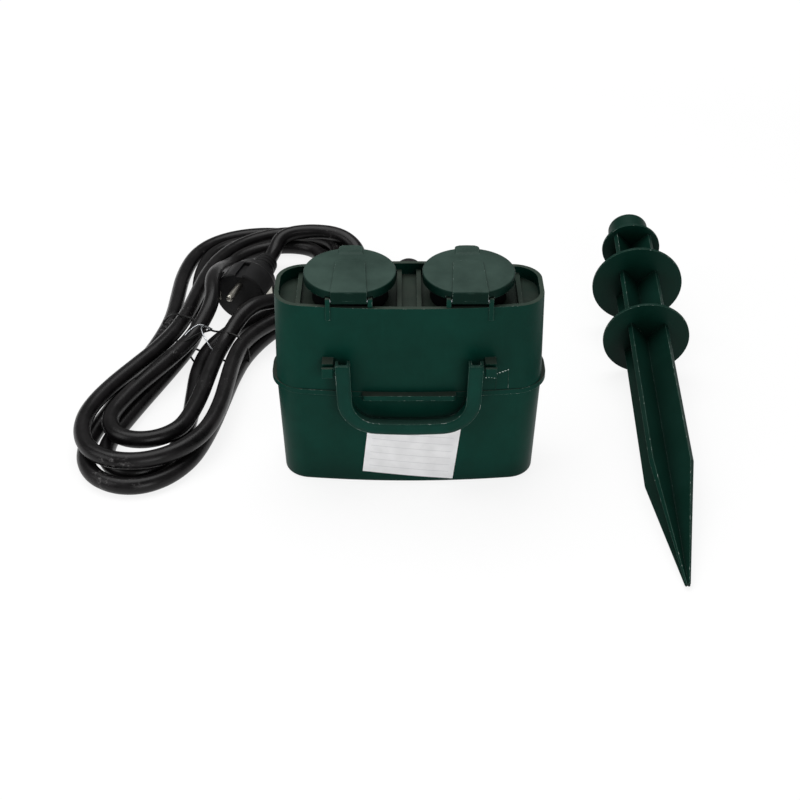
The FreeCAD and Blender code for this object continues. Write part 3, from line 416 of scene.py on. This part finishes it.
def tube(name, points, radius, steps, facets, closed=False):
    """A round tube along a smooth line that the points lead, with capped ends if it has any."""
    curve = bpy.data.curves.new(name, "CURVE")
    curve.dimensions = "3D"
    line = curve.splines.new("NURBS")
    line.points.add(len(points) - 1)
    for point, at in zip(line.points, points):
        point.co = (*(at * MM), 1.0)
    line.order_u = 3
    line.use_cyclic_u = closed
    line.use_endpoint_u = not closed
    line.resolution_u = steps
    curve.bevel_depth = radius * MM
    curve.bevel_resolution = facets
    curve.use_fill_caps = not closed
    return curve


gland_mouth = GLAND_ELBOW + Vector((0, 1, -1)).normalized() * SLEEVE_LENGTH
lead_route = [gland_mouth] + [Vector(place) for place in LEAD_POINTS]
plug_route = [on_hank(*place) for place in PLUG_LEAD_POINTS]
cord_curve = tube("mains_cord", lead_route + hank_points() + plug_route, CORD_R, steps=6, facets=8)
sheath_rubber = soft_rubber("black_rubber_sheath", "#0B0A0B", "#191718", 0.33, 14.0, scuff=0.3)
mains_cord = add_piece("mains_cord", cord_curve, sheath_rubber)
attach(mains_cord, "box")
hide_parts("cord_lead", "cord_hank", "cord_plug_lead")

# Plug: dull black rubber moulded on the cord, with two nickel plated pins and the earth strips
# in the flats of its rim.
plug_rubber = soft_rubber("black_plug_rubber", "#101011", "#1B1B1C", 0.52, 8.0)
dress("plug_body", plug_rubber)
dress("plug_pins", nickel)
dress("plug_earth_strips", nickel)

# Tie: thin wire in black plastic, pulled once round the waist of the hank and twisted shut on top.
# Its ends lie loose on the loops, one of them bared to the bright steel.
TIE_R = 0.7
BARE_R = 0.5
LOOP_PLACES = ((16, -45.8, 7), (15, -43, 15), (12, -34, 23.5), (10, -27, 24.4), (6, -12, 24.4),
               (2, -2, 20.5), (-1, 9, 24.4), (-4, 21, 24.4), (-7, 27.5, 18), (-8, 28.5, 8), (-6, 22, 1.0),
               (4, -8, 1.0), (14, -40, 1.0))
BLACK_END = ((2, -3, 21.5), (-6, -8, 23), (-14, -11, 22.5), (-30, -20, 22), (-50, -22.5, 22),
             (-66, -25, 22.3))
BRIGHT_END = ((2, -3, 22), (4, -9, 25), (-4, -14, 24.5), (-12, -15, 23.4))
BRIGHT_BOW = ((3, -2, 22), (0, -7, 27), (-8, -5, 27), (-15, 2, 24), (-17, 6, 20))
SHORT_END = ((-16, -10, 10), (-19, -7, 9), (-22, -2, 8))


def wire(name, places, radius, material, closed=False):
    """A wire led by places in the hank's own axes."""
    curve = tube(name, [on_hank(*place) for place in places], radius, steps=4, facets=2, closed=closed)
    made = add_piece(name, curve, material)
    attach(made, "box")
    return made


tie_plastic = soft_rubber("black_tie_plastic", "#0D0D0D", "#191919", 0.4, 4.0)
tie_steel = plated_metal("bare_tie_wire", "#C8CBCE", "#9EA1A5", 0.3)
tie_loop = wire("tie_loop", LOOP_PLACES, TIE_R, tie_plastic, closed=True)
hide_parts("cord_tie")
wire("tie_black_end", BLACK_END, TIE_R, tie_plastic)
wire("tie_bright_end", BRIGHT_END, BARE_R, tie_steel)
wire("tie_bright_bow", BRIGHT_BOW, BARE_R, tie_steel)
wire("tie_short_end", SHORT_END, TIE_R, tie_plastic)

# Blank label: a sticker of white vinyl film with faint grey ruling that stops short of its sides,
# stuck on a little askew over the bowed and slanted front of the lower housing.
DEPTH = 55.5
BASE_DRAFT = 4.65
SEAM_Z = 66.4
BOW_R = 530.0
LABEL_SIZE = (53.6, 40.0)
LABEL_FOOT = (-27.3, 8.1)
LABEL_TURN = math.radians(-6.2)
LABEL_LIFT = 0.12
FILM_STAIN_MM = 9.0
RULED_ROWS = 8.0
RULE_THICK = 0.06
RULE_HALF = 0.44
RULE_SHARE = 0.35
RULE_GREY = "#8A8C90"


def bowed_front(x, depth):
    """The y of the front wall at x, at a height where the housing is so deep."""
    return BOW_R - math.sqrt(BOW_R**2 - x**2) - depth / 2


def ruled_vinyl(name):
    """White film: faintly stained, with thin grey lines across it."""
    material = new_material(name)
    coordinates = add_node(material, "TexCoord")
    film_place = add_node(material, "SeparateXYZ", {"Vector": coordinates.outputs["UV"]})
    row = add_node(material, "Math", {0: film_place.outputs["Y"], 1: RULED_ROWS}, operation="MULTIPLY")
    row = add_node(material, "Math", {0: row}, operation="FRACT")
    ruling = add_node(material, "Math", {0: row, 1: RULE_THICK}, operation="LESS_THAN")
    off_middle = add_node(material, "Math", {0: film_place.outputs["X"], 1: 0.5}, operation="SUBTRACT")
    off_middle = add_node(material, "Math", {0: off_middle}, operation="ABSOLUTE")
    inside = add_node(material, "Math", {0: off_middle, 1: RULE_HALF}, operation="LESS_THAN")
    ruling = add_node(material, "Math", {0: ruling, 1: inside}, operation="MULTIPLY")
    ruling = add_node(material, "Math", {0: ruling, 1: RULE_SHARE}, operation="MULTIPLY")
    stain = add_node(material, "TexNoise", {"Vector": coordinates.outputs["Object"],
                                            "Scale": 1 / (FILM_STAIN_MM * MM), "Detail": 5.0})
    film = add_node(material, "ValToRGB", {"Fac": stain})
    for stop, at, tone in zip(film.color_ramp.elements, (0.35, 0.65), ("#EAEAEB", "#F6F6F7")):
        stop.position = at
        stop.color = linear(tone)
    film = add_node(material, "MixRGB", {"Fac": ruling, "Color1": film, "Color2": linear(RULE_GREY)})
    bump = add_node(material, "Bump", {"Height": stain, "Strength": 0.3, "Distance": 0.05 * MM})
    shader = add_node(material, "BsdfPrincipled", {"Base Color": film, "Roughness": 0.45, "Normal": bump})
    add_node(material, "OutputMaterial", {"Surface": shader})
    return material


label_bm = bmesh.new()
bmesh.ops.create_grid(label_bm, x_segments=24, y_segments=4, size=0.5, calc_uvs=True)
label_uv = label_bm.loops.layers.uv.verify()
for face in label_bm.faces:
    for loop in face.loops:
        loop[label_uv].uv = (loop.vert.co.x + 0.5, loop.vert.co.y + 0.5)
for vertex in label_bm.verts:
    right = (vertex.co.x + 0.5) * LABEL_SIZE[0]
    rise = (vertex.co.y + 0.5) * LABEL_SIZE[1]
    x = LABEL_FOOT[0] + right * math.cos(LABEL_TURN) - rise * math.sin(LABEL_TURN)
    z = LABEL_FOOT[1] + right * math.sin(LABEL_TURN) + rise * math.cos(LABEL_TURN)
    wall = bowed_front(x, DEPTH - BASE_DRAFT * (1 - z / SEAM_Z))
    vertex.co = Vector((x, wall - LABEL_LIFT, z)) * MM
label = mesh_piece("blank_label", label_bm, ruled_vinyl("white_vinyl"))
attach(label, "box")

# Mould mark: a faint rectangle right of the right lug, the ridge of an insert in the tool, in the
# same green and a hair proud of the bowed front of the upper housing.
RIM_DRAFT = 2.0
RIM_Z = 120.6
MARK_CORNERS = ((49.5, 77.3), (55.9, 79.6), (56.3, 65.8), (48.9, 64.9))
MARK_HALF = 0.2
MARK_STEPS = 4

# The ridge's section: how far across, in half widths, and how deep in the wall, in millimetres.
MARK_SECTION = ((-1, 0.2), (-0.6, -0.12), (0.6, -0.12), (1, 0.2))


def on_upper_front(x, z):
    depth = DEPTH - RIM_DRAFT * (z - SEAM_Z) / (RIM_Z - SEAM_Z)
    return Vector((x, bowed_front(x, depth), z)) * MM


mark_bm = bmesh.new()
for start, end in zip(MARK_CORNERS, MARK_CORNERS[1:] + MARK_CORNERS[:1]):
    sideways = (Vector(end) - Vector(start)).orthogonal().normalized() * MARK_HALF
    steps = [Vector(start).lerp(Vector(end), k / MARK_STEPS) for k in range(MARK_STEPS + 1)]
    stops = [on_upper_front(*step) for step in steps]
    section = []
    for half_widths, deep in MARK_SECTION:
        aside = sideways * half_widths
        section.append(mark_bm.verts.new(stops[0] + Vector((aside.x, deep, aside.y)) * MM))
    edges = [mark_bm.edges.new(pair) for pair in zip(section, section[1:])]
    for here, there in zip(stops, stops[1:]):
        drawn = bmesh.ops.extrude_edge_only(mark_bm, edges=edges)["geom"]
        section = [item for item in drawn if isinstance(item, bmesh.types.BMVert)]
        edges = [item for item in drawn if isinstance(item, bmesh.types.BMEdge)
                 and item.verts[0] in section and item.verts[1] in section]
        bmesh.ops.translate(mark_bm, vec=there - here, verts=section)
bmesh.ops.recalc_face_normals(mark_bm, faces=mark_bm.faces)
# The mark takes the spike's material, with its painted shade and painted edge highlight.
mould_mark = mesh_piece("mould_mark", mark_bm, spike_green)
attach(mould_mark, "box")

# Trimming specks: pale shreds of torn green plastic, left where a knife trimmed the moulding,
# five along the top of the mould mark and four across the front of the right lug.
MARK_ROW = (Vector((49.6, 77.4)), Vector((55.8, 79.6)))
LUG_ROW = (Vector((42.6, 82.9)), Vector((47.2, 82.9)))
LUG_ROW_WAVE = 0.25
LUG_FRONT_Y = -37.6
SPECK_OUT = 0.05
SPECK_SIZE = 0.34
SPECK_SWING = 0.14
SPECK_STRETCH = 0.9
speck_places = []
for k in range(5):
    x, z = MARK_ROW[0].lerp(MARK_ROW[1], k / 4)
    speck_places.append(on_upper_front(x, z))
for k in range(4):
    x, z = LUG_ROW[0].lerp(LUG_ROW[1], k / 3)
    speck_places.append(Vector((x, LUG_FRONT_Y, z + LUG_ROW_WAVE * math.sin(5 * k / 3))) * MM)

speck_bm = bmesh.new()
for number, place in enumerate(speck_places):
    size = SPECK_SIZE + SPECK_SWING * math.sin(7.0 * number)
    turned = Matrix.Translation(place - Vector((0, SPECK_OUT * MM, 0)))
    turned = turned @ Matrix.Rotation(0.7 * number, 4, "Y")
    cube = bmesh.ops.create_cube(speck_bm, size=size * MM, matrix=turned)
    for vertex in cube["verts"]:
        vertex.co.x += (vertex.co.x - place.x) * SPECK_STRETCH
chipped_plastic = soft_rubber("chipped_polypropylene", "#AEBFB7", "#CFDAD5", 0.5, 1.5)
specks = mesh_piece("trimming_specks", speck_bm, chipped_plastic)
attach(specks, "box")

# Floor: white paper that keeps a faint shadow. To the camera, in reflections and through clear
# things most of it glows, and more so further out, so that it meets the backdrop in plain white.
FLOOR_HALF = 6.0
GLOW_SHARE = 0.8
GLOW_LEVELS = (1.05, 1.27)
GLOW_REACH = (0.6, 2.4)
floor_paper = new_material("white_floor")
rays = add_node(floor_paper, "LightPath")
seen = add_node(floor_paper, "Math", {0: rays.outputs["Is Camera Ray"], 1: rays.outputs["Is Glossy Ray"]},
                operation="MAXIMUM")
seen = add_node(floor_paper, "Math", {0: seen, 1: rays.outputs["Is Transmission Ray"]}, operation="MAXIMUM")
glow_share = add_node(floor_paper, "Math", {0: seen, 1: GLOW_SHARE}, operation="MULTIPLY")
floor_place = add_node(floor_paper, "TexCoord").outputs["Object"]
far_out = add_node(floor_paper, "VectorMath", {0: floor_place}, operation="LENGTH")
glow_level = add_node(floor_paper, "MapRange", {"Value": far_out.outputs["Value"], "From Min": GLOW_REACH[0],
                                                "From Max": GLOW_REACH[1], "To Min": GLOW_LEVELS[0],
                                                "To Max": GLOW_LEVELS[1]})
paper = add_node(floor_paper, "BsdfDiffuse", {"Color": (0.85, 0.85, 0.85, 1.0)})
glow = add_node(floor_paper, "Emission", {"Color": (1.0, 1.0, 1.0, 1.0), "Strength": glow_level})
both = add_node(floor_paper, "MixShader", {0: glow_share, 1: paper, 2: glow})
add_node(floor_paper, "OutputMaterial", {"Surface": both})
floor_bm = bmesh.new()
bmesh.ops.create_grid(floor_bm, x_segments=2, y_segments=2, size=FLOOR_HALF)
floor = mesh_piece("floor", floor_bm, floor_paper)

# Light: a broad soft light above, a weak one from the left and one from the front on the right,
# in a dim white room that the camera sees as a white backdrop.
ROOM_LEVEL = 0.2
BACKDROP_LEVEL = 1.0
world = bpy.data.worlds.new("studio")
world.use_nodes = True
world.node_tree.nodes.clear()
world_rays = add_node(world, "LightPath")
room = add_node(world, "Background", {"Color": (1, 1, 1, 1), "Strength": ROOM_LEVEL})
backdrop = add_node(world, "Background", {"Color": (1, 1, 1, 1), "Strength": BACKDROP_LEVEL})
studio = add_node(world, "MixShader", {0: world_rays.outputs["Is Camera Ray"], 1: room, 2: backdrop})
add_node(world, "OutputWorld", {"Surface": studio})
bpy.context.scene.world = world


def soft_light(name, place, target, size, power):
    lamp = bpy.data.lights.new(name, "AREA")
    lamp.shape = "RECTANGLE"
    lamp.size, lamp.size_y = size
    lamp.energy = power
    light = bpy.data.objects.new(name, lamp)
    light.location = place
    light.rotation_euler = (Vector(target) - Vector(place)).to_track_quat("-Z", "Y").to_euler()
    bpy.context.scene.collection.objects.link(light)


soft_light("top_light", place=(-0.2, 0.45, 1.5), target=(0, 0.05, 0), size=(1.6, 1.2), power=20)
soft_light("left_light", place=(-1.3, -0.5, 0.9), target=(0, 0, 0.05), size=(0.9, 0.9), power=6)
soft_light("front_light", place=(0.5, -1.6, 0.7), target=(0, 0, 0.05), size=(1.0, 0.8), power=11.5)

# Camera: where the photo was taken from, found by fitting the corners of the box and the lids,
# with its colours shown as they are.
camera_data = bpy.data.cameras.new("camera")
camera_data.lens = 63.21
camera_data.sensor_width = 36.0
camera = bpy.data.objects.new("camera", camera_data)
camera.location = (-0.00518, -0.6845, 0.5167)
camera.rotation_euler = (math.radians(55.24), 0, 0)
bpy.context.scene.collection.objects.link(camera)
bpy.context.scene.camera = camera
bpy.context.scene.view_settings.view_transform = "Standard"
